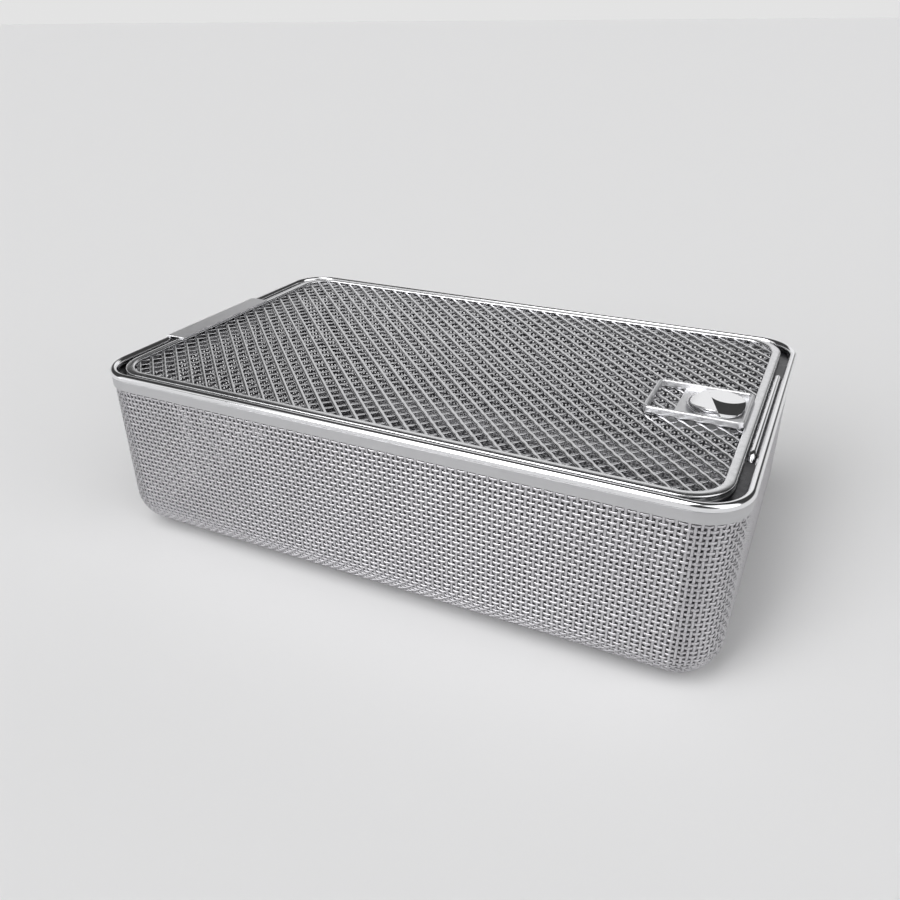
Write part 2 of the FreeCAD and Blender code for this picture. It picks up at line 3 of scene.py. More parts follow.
import bpy
import numpy as np
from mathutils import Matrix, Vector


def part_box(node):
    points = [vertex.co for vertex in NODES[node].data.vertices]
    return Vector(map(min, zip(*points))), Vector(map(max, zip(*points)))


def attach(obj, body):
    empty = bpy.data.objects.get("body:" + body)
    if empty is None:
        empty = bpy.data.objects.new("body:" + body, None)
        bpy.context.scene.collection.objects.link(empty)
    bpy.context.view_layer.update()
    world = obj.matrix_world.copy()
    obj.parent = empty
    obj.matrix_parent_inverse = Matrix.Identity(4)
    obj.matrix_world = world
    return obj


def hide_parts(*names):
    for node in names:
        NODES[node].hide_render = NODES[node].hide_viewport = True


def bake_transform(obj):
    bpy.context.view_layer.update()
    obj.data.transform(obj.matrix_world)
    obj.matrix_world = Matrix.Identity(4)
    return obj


# Looks of a stainless steel instrument basket with a hinged mesh lid.
# Lengths are metres in the row frame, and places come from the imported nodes.

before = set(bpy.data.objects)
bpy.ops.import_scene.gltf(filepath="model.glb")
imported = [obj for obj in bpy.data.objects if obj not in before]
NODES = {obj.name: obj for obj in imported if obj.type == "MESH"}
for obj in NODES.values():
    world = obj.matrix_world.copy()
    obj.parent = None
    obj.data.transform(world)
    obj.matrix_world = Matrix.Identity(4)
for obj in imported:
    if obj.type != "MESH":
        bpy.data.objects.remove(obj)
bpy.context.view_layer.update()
MM = 0.001

# Sizes read from the frame
BEAD_LOW, BEAD_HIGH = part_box("rim_bead")
HALF_L = BEAD_HIGH.x
HALF_W = BEAD_HIGH.y
BEAD_R = (BEAD_HIGH.z - BEAD_LOW.z) / 2
BEAD_Z = BEAD_HIGH.z - BEAD_R
WALL_LOW, WALL_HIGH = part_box("front_wall_mesh")
FLAT_L = WALL_HIGH.x
WALL_TOP = WALL_HIGH.z
BEND_R = WALL_LOW.z
PAN_T = WALL_HIGH.y - WALL_LOW.y
PAN_HALF_W = -WALL_LOW.y
FLAT_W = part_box("latch_end_wall_mesh")[1].y
BAND_LOW, BAND_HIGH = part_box("outer_rim_band")
STRAP_LOW, STRAP_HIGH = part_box("hinge_strap")
LID_LOW, LID_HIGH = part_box("lid_frame_upper")
LID_UNDER_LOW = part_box("lid_frame_lower")[0]
LATTICE_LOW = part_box("lid_mesh_lower")[0]
LATTICE_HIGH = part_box("lid_mesh_upper")[1]
HOUSING_LOW, HOUSING_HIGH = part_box("latch_housing")
TAB_LOW, TAB_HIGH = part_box("thumb_tab")
SPRING_LOW, SPRING_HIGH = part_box("latch_spring")
HANDLE_LOW, HANDLE_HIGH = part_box("handle")

# Shares and counts of the profiles
SUPPORT_SHARE = 0.3
SHOULDER_SHARE = 0.12
BEAD_SIDES = 40
SPRING_SIDES = 16
HANDLE_SIDES = 28
COLLAR_SIDES = 32

# Rim and pan: sizes that the boxes don't tell
RIM_CORNER_R = 16 * MM
BAND_T = 0.5 * MM
BAND_LAP = 0.5 * MM
BAND_EDGE_R = 0.12 * MM
WINDOW_SIDE = 0.8 * MM
WINDOW_DROP = 0.6 * MM
WINDOW_STEP = 0.05 * MM
POLE_STOP = math.radians(86)
PAN_PITCH = 1.79 * MM
PAN_WIRE_W = 1.1 * MM
WIRE_SIDES = 6

# Lid
LID_CORNER_R = 14.5 * MM
STRIP_W = 3.2 * MM
STRIP_CROWN = 0.26 * MM
STRIP_EDGE_R = 0.2 * MM
STRAP_T = 0.6 * MM
STRAP_SEAT = 0.06 * MM
STRAP_EDGE_R = 0.27 * MM
STRAP_Y = (STRAP_LOW.y + STRAP_HIGH.y) / 2
STRAP_HALF_W = (STRAP_HIGH.y - STRAP_LOW.y) / 2
CURL_END = math.radians(320)
LATTICE_PITCH = 4.56 * MM
LATTICE_TILT = math.radians(45)
LATTICE_CRIMP = 0.04 * MM
LATTICE_SIDES = 12
LATTICE_FLATTEN = 0.7
FALLING_WIRE_W = 1.5 * MM
RISING_WIRE_W = 1.0 * MM
STEPS_PER_WAVE = 5
CHORD_SAMPLES = 4001
SLOT_SAMPLES = 8001

# Latch
LATCH_Y = (HOUSING_LOW.y + HOUSING_HIGH.y) / 2
HOUSING_T = 1.2 * MM
HOUSING_CORNER_R = 1.6 * MM
HOUSING_EDGE_R = 0.5 * MM
SLOT_W = 7 * MM
SLOT_LEFT = 91.6 * MM
SLOT_RIGHT = 102.6 * MM
EYELET_W = 1.2 * MM
EYELET_EDGE_R = 0.2 * MM
TAB_EDGE_R = 0.3 * MM
TAB_RAMP = 1.2 * MM
TAB_RAMP_POWER = 1.5
TAB_FOOT_T = 0.35 * MM
TAB_FOOT_INSET = 0.2 * MM
TAB_FOOT_EDGE = (0.02 * MM, 0.01 * MM)
TAB_HUB_R = 0.02 * MM
TAB_TURNS = 256
TAB_RINGS = 110
CREST_AT = (102.9 * MM, -1.5 * MM)
CREST_R = 6.3 * MM
SCOOP_W = 4.5 * MM
SCOOP_SIDE_AT = (96.6 * MM, -2.3 * MM)
SCOOP_SIDE_TURN = math.radians(20)
SCOOP_SIDE_W = 1.2 * MM
SCOOP_POWER = 1.05
SPRING_OPEN = math.radians(115)

# Handle
HANDLE_R = 1.1 * MM
HANDLE_BEND_R = 3 * MM
COLLAR_R = 1.6 * MM
COLLAR_H = 2 * MM

# Camera, from the photograph
CAMERA_AT = (0.12780, -0.26731, 0.18480)
CAMERA_AZIMUTH = -0.4573
CAMERA_DOWN = 0.4902
CAMERA_ROLL = -0.0078
CAMERA_FOCAL_PX = 804.9
IMAGE_PX = 900
SENSOR = 36.0

# Light of the room: it fades between two sines of the height
ROOM_FADE = (0.14, 0.34)
ROOM_LOW = 0.77
ROOM_HIGH = 0.05

# Panels of light: azimuth and height in degrees, tangents of half width and half height,
# softness, strength
PANELS = (
    (216, 45, 0.14, 0.85, 0.06, 0.8),
    (243, 45, 0.22, 0.9, 0.06, 3.9),
    (106, 25, 0.38, 0.18, 0.08, 0.85),
    (255, 28, 0.12, 0.22, 0.06, 2.6),
    (345, 42, 0.42, 0.65, 0.06, 1.4))

FLOOR_HALF = 300.0
FLOOR_COLOUR = (0.8, 0.8, 0.805, 1)
FLOOR_ROUGHNESS = 0.9
FLOOR_SHINE = 0.1

# Finishes: light colour, dark colour, roughness and its spread, grain of the noise,
# its stretch along X, Y and Z, depth of the relief
EVEN = (1, 1, 1)
UPRIGHT = (0.2, 0.2, 4)
FINISHES = {
    "woven_steel": ((0.69, 0.68, 0.7), (0.56, 0.55, 0.57), 0.32, 0.06, 90, EVEN, 0.02 * MM),
    "polished_steel": ((0.92, 0.92, 0.93), (0.86, 0.86, 0.88), 0.09, 0.03, 40, EVEN, 0.004 * MM),
    "satin_steel": ((0.78, 0.78, 0.79), (0.7, 0.7, 0.71), 0.28, 0.07, 60, UPRIGHT, 0.01 * MM),
    "clamp_steel": ((0.6, 0.6, 0.61), (0.52, 0.52, 0.53), 0.42, 0.06, 60, UPRIGHT, 0.01 * MM),
    # Painted shade: the lower lid strip is a darker copy of strip_steel, for the shade it lies in
    # under the upper strip.
    "lower_strip_painted_shade": ((0.42, 0.42, 0.43), (0.36, 0.36, 0.37), 0.35, 0.05, 60, EVEN, 0.008 * MM),
    "strip_steel": ((0.82, 0.82, 0.83), (0.74, 0.74, 0.76), 0.22, 0.05, 60, EVEN, 0.008 * MM),
    "brushed_strap": ((0.92, 0.92, 0.93), (0.85, 0.85, 0.87), 0.45, 0.06, 60, EVEN, 0.008 * MM),
    "drawn_wire": ((0.74, 0.74, 0.75), (0.62, 0.62, 0.64), 0.2, 0.06, 120, EVEN, 0.01 * MM),
    "latch_steel": ((0.88, 0.88, 0.89), (0.8, 0.8, 0.82), 0.42, 0.05, 80, EVEN, 0.006 * MM),
    "spring_steel": ((0.7, 0.7, 0.72), (0.6, 0.6, 0.62), 0.25, 0.05, 120, EVEN, 0.006 * MM),
    # Painted shade: the ledges are coloured near black to stand for the shade and dark reflections
    # they lie in.
    "ledge_painted_shade": ((0.1, 0.1, 0.105), (0.07, 0.07, 0.075), 0.3, 0.05, 60, EVEN, 0.006 * MM)}
# Painted shade: darker colour mixed into the pan wires' inner sides, standing in for the shade inside
# the basket.
WIRE_INSIDE_SHADE = (0.2, 0.2, 0.21)
GRAIN_RATIO = 7
COARSE_DETAIL, FINE_DETAIL = 4, 3
NOISE_RANGE = (0.3, 0.7)
RELIEF_STRENGTH = 0.3


def unit(rows):
    """Vectors of length one in the same directions."""
    return rows / np.linalg.norm(rows, axis=-1, keepdims=True)


def piece(name, verts, quads, body, material, nodes=(), caps=()):
    """Smooth mesh object that rides on a body, if one is named.

    Its faces are turned outwards by the sign of the volume that its quads enclose."""
    verts = np.asarray(verts, float).reshape(-1, 3)
    quads = np.asarray(quads, np.int64)
    middle = verts.mean(0)
    a, b, c, d = (verts[quads[:, k]] - middle for k in range(4))
    volume = np.sum(a * np.cross(b, c)) + np.sum(a * np.cross(c, d))
    faces = [tuple(face) for face in quads.tolist()] + [tuple(cap) for cap in caps]
    if volume < 0:
        faces = [face[::-1] for face in faces]
    mesh = bpy.data.meshes.new(name)
    mesh.from_pydata(verts.tolist(), [], faces)
    mesh.polygons.foreach_set("use_smooth", [True] * len(faces))
    mesh.materials.append(material)
    mesh.update()
    thing = bpy.data.objects.new(name, mesh)
    bpy.context.scene.collection.objects.link(thing)
    if body:
        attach(thing, body)
    if nodes:
        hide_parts(*nodes)
    return thing


def grid_quads(rows, columns, closed_rows, closed_columns, start=0):
    """Quads of a grid of points stored row by row; a closed side joins its last row to its first."""
    i = np.arange(rows if closed_rows else rows - 1)
    j = np.arange(columns if closed_columns else columns - 1)
    i, j = (axis.ravel() for axis in np.meshgrid(i, j, indexing="ij"))
    i2 = (i + 1) % rows
    j2 = (j + 1) % columns
    corners = (i * columns + j, i2 * columns + j, i2 * columns + j2, i * columns + j2)
    return np.stack(corners, axis=1) + start


def carried(path, across, up, profile, closed):
    """Closed profile carried along a path: each point is path + across * x + up * y."""
    x = profile[None, :, :1] * across[:, None, :]
    y = profile[None, :, 1:] * up[:, None, :]
    verts = path[:, None, :] + x + y
    rows, columns = verts.shape[:2]
    quads = grid_quads(rows, columns, closed, True)
    if closed:
        return verts.reshape(-1, 3), quads, []
    return with_ends(verts[None], quads)


def with_ends(rings, quads):
    """Adds end faces to bars given as rings of points, with corners of their own to shade flat."""
    bars, stations, sides = rings.shape[:3]
    ends = np.stack([rings[:, 0, ::-1], rings[:, -1]], axis=1).reshape(-1, 3)
    start = bars * stations * sides
    caps = (start + np.arange(2 * bars * sides)).reshape(-1, sides).tolist()
    return np.concatenate([rings.reshape(-1, 3), ends]), quads, caps


def round_profile(radius, sides):
    """Circle of that radius."""
    turn = np.linspace(0, 2 * math.pi, sides, endpoint=False)
    return np.stack([radius * np.cos(turn), radius * np.sin(turn)], axis=1)


def bar_profile(width, height, edge, steps=5):
    """Rectangle with rounded edges, and support points close by so that its flats stay flat."""
    quarter = np.linspace(0, math.pi / 2, steps)
    corner = np.stack([np.cos(quarter), np.sin(quarter)], axis=1) * edge
    points = []
    for turn, sx, sy in ((0, 1, 1), (1, -1, 1), (2, -1, -1), (3, 1, -1)):
        c, s = round(math.cos(turn * math.pi / 2)), round(math.sin(turn * math.pi / 2))
        turned = corner @ np.array([[c, s], [-s, c]])
        points.append(turned + (sx * (width / 2 - edge), sy * (height / 2 - edge)))
    rows = np.concatenate(points)
    after = np.roll(rows, -1, axis=0)
    gap = np.linalg.norm(after - rows, axis=1)
    out = []
    for row, following, length in zip(rows, after, gap):
        out.append(row)
        if length > edge:
            inset = (following - row) * SUPPORT_SHARE * edge / length
            out.append(row + inset)
            out.append(following - inset)
    return np.array(out)


def crowned_profile(width, height, rise, steps=14):
    """Strip with a flat underside, whose top is a shallow arch that rises by rise at its middle."""
    x = np.linspace(1, -1, steps)
    arch = height / 2 - rise + rise * (1 - x ** 2)
    top = np.stack([x * width / 2, arch], axis=1)
    side = SHOULDER_SHARE * height
    top[0] = (width / 2, arch[0] - side)
    top[-1] = (-width / 2, arch[-1] - side)
    bottom = np.array([[-width / 2, -height / 2], [width / 2, -height / 2]])
    return np.concatenate([top, bottom])


def loop_path(half_l, half_w, radius, z, per_corner=24, extra=()):
    """Rounded rectangle at height z, counter-clockwise, with its outward and upward directions.

    Each corner is a quarter circle; extra gives the y of points added on the left side."""
    turns = np.linspace(0, math.pi / 2, per_corner)
    points, outward = [], []
    for k, (sx, sy) in enumerate(((1, 1), (-1, 1), (-1, -1), (1, -1))):
        angle = turns + k * math.pi / 2
        ray = np.stack([np.cos(angle), np.sin(angle)], axis=1)
        points.append(ray * radius + (sx * (half_l - radius), sy * (half_w - radius)))
        outward.append(ray)
        if k == 1:
            for y in sorted(extra, reverse=True):
                points.append(np.array([[-half_l, y]]))
                outward.append(np.array([[-1.0, 0.0]]))
    flat = np.concatenate(points)
    ray = np.concatenate(outward)
    path = np.column_stack([flat, np.full(len(flat), z)])
    across = np.column_stack([ray, np.zeros(len(ray))])
    return path, across, np.tile([0.0, 0.0, 1.0], (len(flat), 1))


def along(path, side):
    """Directions square to a path: the cross product of its tangent and side."""
    tangent = unit(np.gradient(path, axis=0))
    return unit(np.cross(tangent, side))


def wires(centres, normals, half_w, half_t, sides, power=1.0):
    """Oval wires along rows of centre points, with closed ends.

    The section is half_w * cos across and half_t * sin along the normal, each wave raised to
    a power that flattens the section's sides when it is under 1."""
    tangent = unit(np.gradient(centres, axis=1))
    across = unit(np.cross(tangent, normals))
    up = unit(np.cross(across, tangent))
    turn = np.linspace(0, 2 * math.pi, sides, endpoint=False)
    waves = (np.cos(turn), np.sin(turn))
    wide, high = (np.sign(wave) * np.abs(wave) ** power for wave in waves)
    ring = half_w * wide[:, None] * across[:, :, None, :]
    ring = ring + half_t * high[:, None] * up[:, :, None, :]
    verts = centres[:, :, None, :] + ring
    count, stations = centres.shape[:2]
    single = grid_quads(stations, sides, False, True)
    shift = np.arange(count)[:, None, None] * stations * sides
    quads = (single[None] + shift).reshape(-1, 4)
    return with_ends(verts, quads)


def merged(parts):
    """Points, quads and caps of several meshes as one."""
    verts, quads, caps, start = [], [], [], 0
    for part_verts, part_quads, part_caps in parts:
        verts.append(part_verts)
        quads.append(part_quads + start)
        caps += [[index + start for index in cap] for cap in part_caps]
        start += len(part_verts)
    return np.concatenate(verts), np.concatenate(quads), caps


def woven(surface, size_a, size_b):
    """Two families of wires that pass over and under each other on a surface.

    surface(a, b) gives points and normals for a and b from 0 to 1. A wire of one family lies at each
    half step of the other's axis, and is lifted along the normal by a sine of its own axis, with the
    sign changing from wire to wire."""
    count_a = max(2, round(size_a / PAN_PITCH))
    count_b = max(2, round(size_b / PAN_PITCH))
    parts = []
    for count, stations, swap in ((count_a, count_b, False), (count_b, count_a, True)):
        place = (np.arange(count) + 0.5) / count
        steps = np.concatenate([[0.0], np.arange(stations) + 0.5, [stations]])
        fixed, moving = np.meshgrid(place, steps / stations, indexing="ij")
        points, normals = surface(moving, fixed) if swap else surface(fixed, moving)
        sign = np.where(np.arange(count) % 2, 1, -1) * (-1 if swap else 1)
        lift = sign[:, None] * np.sin(math.pi * steps)[None, :] * PAN_T / 4
        centres = points + lift[..., None] * normals
        parts.append(wires(centres, normals, PAN_WIRE_W / 2, PAN_T / 4, WIRE_SIDES))
    return merged(parts)


def stacked(x, y, z):
    """Points from three arrays that broadcast together."""
    return np.stack(np.broadcast_arrays(x, y, z), axis=-1)


def wall_surface(half_a, reach, turn, window=False):
    """Upright wall: a runs along it, b from the bend up to the rim; turn counts quarter turns."""
    def surface(a, b):
        along_wall = (2 * a - 1) * half_a
        top = np.full_like(a, WALL_TOP)
        if window:
            beside = np.abs(along_wall + STRAP_Y) > STRAP_HALF_W + WINDOW_SIDE
            top = np.where(beside, WALL_TOP, STRAP_LOW.z - WINDOW_DROP)
        z = BEND_R + b * (top - BEND_R)
        points = stacked(along_wall, PAN_T / 2 - reach, z)
        return turned(points, turn), turned(stacked(0 * a, -1 + 0 * a, 0 * a), turn)
    return surface


def turned(points, quarters):
    """Points turned about Z by quarter turns."""
    c, s = ((1, 0), (0, 1), (-1, 0), (0, -1))[quarters % 4]
    x, y, z = points[..., 0], points[..., 1], points[..., 2]
    return stacked(c * x - s * y, s * x + c * y, z)


def corner_surface(quarters):
    """Upright quarter tube: a goes round the corner, b up to the rim."""
    sx, sy = ((1, 1), (-1, 1), (-1, -1), (1, -1))[quarters]
    radius = BEND_R - PAN_T / 2

    def surface(a, b):
        angle = (a + quarters) * math.pi / 2
        ray = stacked(np.cos(angle), np.sin(angle), 0 * a)
        middle = stacked(sx * FLAT_L + 0 * a, sy * FLAT_W, BEND_R + b * (WALL_TOP - BEND_R))
        return middle + radius * ray, ray
    return surface


def bend_surface(half_a, reach, turn):
    """Quarter-round lower edge: a runs along the wall, b from the wall down to the floor."""
    radius = BEND_R - PAN_T / 2

    def surface(a, b):
        angle = b * math.pi / 2
        ray = stacked(0 * a, -np.cos(angle), -np.sin(angle))
        middle = stacked((2 * a - 1) * half_a, BEND_R - reach, BEND_R)
        return turned(middle + radius * ray, turn), turned(ray, turn)
    return surface


def ball_surface(quarters):
    """Eighth of a ball under a corner: a goes round, b down to just before the pole."""
    sx, sy = ((1, 1), (-1, 1), (-1, -1), (1, -1))[quarters]
    radius = BEND_R - PAN_T / 2

    def surface(a, b):
        angle = (a + quarters) * math.pi / 2
        down = b * POLE_STOP
        ray = stacked(np.cos(angle) * np.cos(down), np.sin(angle) * np.cos(down), -np.sin(down))
        return stacked(sx * FLAT_L + 0 * a, sy * FLAT_W, BEND_R) + radius * ray, ray
    return surface


def floor_surface(a, b):
    """Flat floor between the bends."""
    points = stacked((2 * a - 1) * FLAT_L, (2 * b - 1) * FLAT_W, PAN_T / 2)
    return points, stacked(0 * a, 0 * a, -1 + 0 * a)


def make_pan(material):
    """The fine woven pan, one piece for each node of the frame."""
    rise = WALL_TOP - BEND_R
    arc = BEND_R * math.pi / 2
    pan_half_l = FLAT_L + BEND_R
    walls = (
        ("front_weave", "front_wall_mesh", FLAT_L, PAN_HALF_W, 0, False),
        ("latch_end_weave", "latch_end_wall_mesh", FLAT_W, pan_half_l, 1, False),
        ("back_weave", "back_wall_mesh", FLAT_L, PAN_HALF_W, 2, False),
        ("hinge_end_weave", "hinge_end_wall_mesh", FLAT_W, pan_half_l, 3, True))
    for name, node, half_a, reach, turn, window in walls:
        mesh = woven(wall_surface(half_a, reach, turn, window), 2 * half_a, rise)
        weave_piece(name, mesh, material, node)
    corners = merged([woven(corner_surface(k), arc, rise) for k in range(4)])
    weave_piece("corner_weave", corners, material, "corner_mesh")
    bends = [woven(bend_surface(half_a, reach, turn), 2 * half_a, arc)
             for _, _, half_a, reach, turn, _ in walls]
    weave_piece("bend_weave", merged(bends), material, "bottom_bend_mesh")
    balls = merged([woven(ball_surface(k), arc, arc) for k in range(4)])
    weave_piece("bottom_corner_weave", balls, material, "bottom_corner_mesh")
    floor = woven(floor_surface, 2 * FLAT_L, 2 * FLAT_W)
    weave_piece("floor_weave", floor, material, "floor_mesh")


def weave_piece(name, mesh, material, node):
    """One piece of the pan; it stores a point attribute, (1 - sine of the wire's own turn) / 2, that
    weights the painted shade on the wires' inner sides.
    """
    verts, quads, caps = mesh
    thing = piece(name, verts, quads, "tub", material, [node], caps)
    turn = np.linspace(0, 2 * math.pi, WIRE_SIDES, endpoint=False)
    inward_shade = (1 - np.sin(turn)) / 2
    shade = thing.data.attributes.new("inward_shade", "FLOAT", "POINT")
    shade.data.foreach_set("value", np.tile(inward_shade, len(verts) // WIRE_SIDES))
    return thing


def make_bead(material):
    """Round bead carried round the rim."""
    path = loop_path(HALF_L - BEAD_R, HALF_W - BEAD_R, RIM_CORNER_R - BEAD_R, BEAD_Z, 40)
    verts, quads, _ = carried(*path, round_profile(BEAD_R, BEAD_SIDES), True)
    return piece("rim_round", verts, quads, "tub", material, ["rim_bead"])


def make_band(material):
    """Strip below the bead, lower where the hinge turns."""
    side = STRAP_HALF_W + WINDOW_SIDE
    inset = HALF_L - BAND_HIGH.x + BAND_T / 2
    top = BAND_HIGH.z + BAND_LAP
    middle = (BAND_LOW.z + top) / 2
    wider = side + WINDOW_STEP
    extra = [STRAP_Y + gap for gap in (-wider, -side, side, wider)]
    radius = RIM_CORNER_R - inset
    path = loop_path(HALF_L - inset, HALF_W - inset, radius, middle, extra=extra)
    profile = bar_profile(BAND_T, top - BAND_LOW.z, BAND_EDGE_R)
    verts, quads, _ = carried(*path, profile, True)
    notch = (verts[:, 0] < 0) & (np.abs(verts[:, 1] - STRAP_Y) < side + WINDOW_STEP / 2)
    verts[notch, 2] = np.minimum(verts[notch, 2], STRAP_LOW.z - WINDOW_DROP)
    nodes = ["outer_rim_band"]
    return piece("rim_clamp_strip", verts, quads, "tub", material, nodes)


def make_lid_frame(material, lower):
    """Two strips round the lid: the upper one crowned, the lower one flat and coloured darker as
    painted shade.
    """
    half_l = LID_HIGH.x - STRIP_W / 2
    half_w = LID_HIGH.y - STRIP_W / 2
    radius = LID_CORNER_R - STRIP_W / 2
    thick = LID_HIGH.z - LID_LOW.z
    crowned = crowned_profile(STRIP_W, thick, STRIP_CROWN)
    flat = bar_profile(STRIP_W, thick, STRIP_EDGE_R)
    strips = (
        ("lid_strip_upper", "lid_frame_upper", LID_LOW.z, crowned, material),
        ("lid_strip_lower", "lid_frame_lower", LID_UNDER_LOW.z, flat, lower))
    for name, node, low, profile, finish in strips:
        path = loop_path(half_l, half_w, radius, low + thick / 2)
        verts, quads, _ = carried(*path, profile, True)
        piece(name, verts, quads, "lid", finish, [node])


def chord(half_l, half_w, radius, offset, angle):
    """Distances along a slanted line at which it enters and leaves a rounded rectangle."""
    c, s = math.cos(angle), math.sin(angle)
    t = np.linspace(-1, 1, CHORD_SAMPLES) * (half_l + half_w)
    x = np.abs(t * c - offset * s)
    y = np.abs(t * s + offset * c)
    dx = np.maximum(x - (half_l - radius), 0)
    dy = np.maximum(y - (half_w - radius), 0)
    inside = (np.hypot(dx, dy) <= radius) & (x <= half_l) & (y <= half_w)
    if not inside.any():
        return None
    return t[inside][0], t[inside][-1]


def slot_span(offset, angle):
    """Where a slanted line runs over the latch slot with its border, or None."""
    c, s = math.cos(angle), math.sin(angle)
    t = np.linspace(-1, 1, SLOT_SAMPLES) * (HALF_L + HALF_W)
    x = t * c - offset * s
    y = t * s + offset * c
    inside = (x > SLOT_LEFT - EYELET_W) & (x < SLOT_RIGHT + EYELET_W)
    inside &= np.abs(y - LATCH_Y) < SLOT_W / 2 + EYELET_W
    if not inside.any():
        return None
    return t[inside][0], t[inside][-1]


def lattice_wire(start, end, offset, angle, level):
    """Centre points of one wire, with a slight cosine wave that presses on each crossing."""
    steps = max(2, round((end - start) / (LATTICE_PITCH / STEPS_PER_WAVE)) + 1)
    t = np.linspace(start, end, steps)
    sense = 1 if angle > 0 else -1
    z = level + sense * LATTICE_CRIMP * np.cos(2 * math.pi * t / LATTICE_PITCH)
    c, s = math.cos(angle), math.sin(angle)
    return stacked(t * c - offset * s, t * s + offset * c, z)


def make_lattice(material):
    """The lid's diagonal weave: two families of wires, cut off at the frame and the latch slot."""
    half_l = LATTICE_HIGH.x
    half_w = LATTICE_HIGH.y
    half_t = (LATTICE_HIGH.z - LATTICE_LOW.z) / 4
    reach = math.ceil((half_l + half_w) / LATTICE_PITCH)
    above, below = LATTICE_HIGH.z - half_t, LATTICE_LOW.z + half_t
    families = (
        ("lattice_falling", "lid_mesh_upper", -LATTICE_TILT, above, FALLING_WIRE_W),
        ("lattice_rising", "lid_mesh_lower", LATTICE_TILT, below, RISING_WIRE_W))
    for name, node, angle, level, width in families:
        parts = []
        for k in range(-reach, reach + 1):
            offset = k * LATTICE_PITCH
            span = chord(half_l, half_w, LID_CORNER_R, offset, angle)
            if span is None or span[1] - span[0] < LATTICE_PITCH:
                continue
            cut = slot_span(offset, angle)
            runs = [span] if cut is None else [(span[0], cut[0]), (cut[1], span[1])]
            for start, end in runs:
                line = lattice_wire(start, end, offset, angle, level)[None]
                normals = np.broadcast_to([0.0, 0.0, 1.0], line.shape)
                half_high = half_t - LATTICE_CRIMP
                section = (width / 2, half_high, LATTICE_SIDES, LATTICE_FLATTEN)
                parts.append(wires(line, normals, *section))
        verts, quads, caps = merged(parts)
        piece(name, verts, quads, "lid", material, [node], caps)


def make_slot_border(material):
    """Flat eyelet that binds the cut wires round the latch slot."""
    middle_x = (SLOT_LEFT + SLOT_RIGHT) / 2
    half_l = (SLOT_RIGHT - SLOT_LEFT) / 2 + EYELET_W / 2
    z = (LATTICE_LOW.z + LATTICE_HIGH.z) / 2
    path, across, up = loop_path(half_l, SLOT_W / 2 + EYELET_W / 2, EYELET_W, z, 8)
    path += (middle_x, LATCH_Y, 0)
    profile = bar_profile(EYELET_W, LATTICE_HIGH.z - LATTICE_LOW.z, EYELET_EDGE_R)
    verts, quads, _ = carried(path, across, up, profile, True)
    return piece("slot_eyelet", verts, quads, "lid", material)


def make_strap(material):
    """Flat tongue with round edges: a straight run, then an arc about the hinge axis."""
    hinge_x = -(HALF_L - BEAD_R)
    radius = BEAD_R + STRAP_SEAT + STRAP_T / 2
    straight = np.linspace(STRAP_HIGH.x, hinge_x, 6)[:-1]
    turn = np.linspace(math.pi / 2, CURL_END, 40)
    x = np.concatenate([straight, hinge_x + radius * np.cos(turn)])
    z = np.concatenate([np.full(5, BEAD_Z + radius), BEAD_Z + radius * np.sin(turn)])
    path = stacked(x, STRAP_Y + 0 * x, z)
    across = np.tile([0.0, 1.0, 0.0], (len(x), 1))
    up = along(path, across)
    profile = bar_profile(STRAP_HIGH.y - STRAP_LOW.y, STRAP_T, STRAP_EDGE_R)
    verts, quads, caps = carried(path, across, up, profile, False)
    nodes = ["hinge_strap"]
    return piece("hinge_tongue", verts, quads, "lid", material, nodes, caps)


def make_housing(material):
    """Raised frame round the latch, with soft edges."""
    half_l = (HOUSING_HIGH.x - HOUSING_LOW.x - HOUSING_T) / 2
    half_w = (HOUSING_HIGH.y - HOUSING_LOW.y - HOUSING_T) / 2
    middle = (HOUSING_LOW + HOUSING_HIGH) / 2
    path, across, up = loop_path(half_l, half_w, HOUSING_CORNER_R, middle.z, 10)
    path += (middle.x, middle.y, 0)
    profile = bar_profile(HOUSING_T, HOUSING_HIGH.z - HOUSING_LOW.z, HOUSING_EDGE_R)
    verts, quads, _ = carried(path, across, up, profile, True)
    nodes = ["latch_housing"]
    return piece("latch_frame", verts, quads, "lid", material, nodes)


def tab_height(x, y):
    """Top of the thumb tab: a ramp up to a round crest, then a hollow scooped out past the crest.

    The hollow is as deep as the nearer of its edges allows: the crest's circle and a slanted side."""
    middle = (TAB_LOW + TAB_HIGH) / 2
    radius = (TAB_HIGH.x - TAB_LOW.x) / 2
    climb = np.clip((SCOOP_SIDE_AT[0] - x) / (SCOOP_SIDE_AT[0] - middle.x + radius), 0, 1)
    past_crest = (np.hypot(x - CREST_AT[0], y - CREST_AT[1]) - CREST_R) / SCOOP_W
    c, s = math.cos(SCOOP_SIDE_TURN), math.sin(SCOOP_SIDE_TURN)
    past_side = (x - SCOOP_SIDE_AT[0]) * c + (y - SCOOP_SIDE_AT[1]) * s
    hollow = np.clip(np.minimum(past_crest, past_side / SCOOP_SIDE_W), 0, 1)
    hollow = np.where(y < CREST_AT[1], hollow, 0)
    depth = TAB_HIGH.z - TAB_LOW.z - TAB_FOOT_T
    sunk = 1 - (1 - hollow) ** SCOOP_POWER
    return TAB_HIGH.z - TAB_RAMP * climb ** TAB_RAMP_POWER - depth * sunk


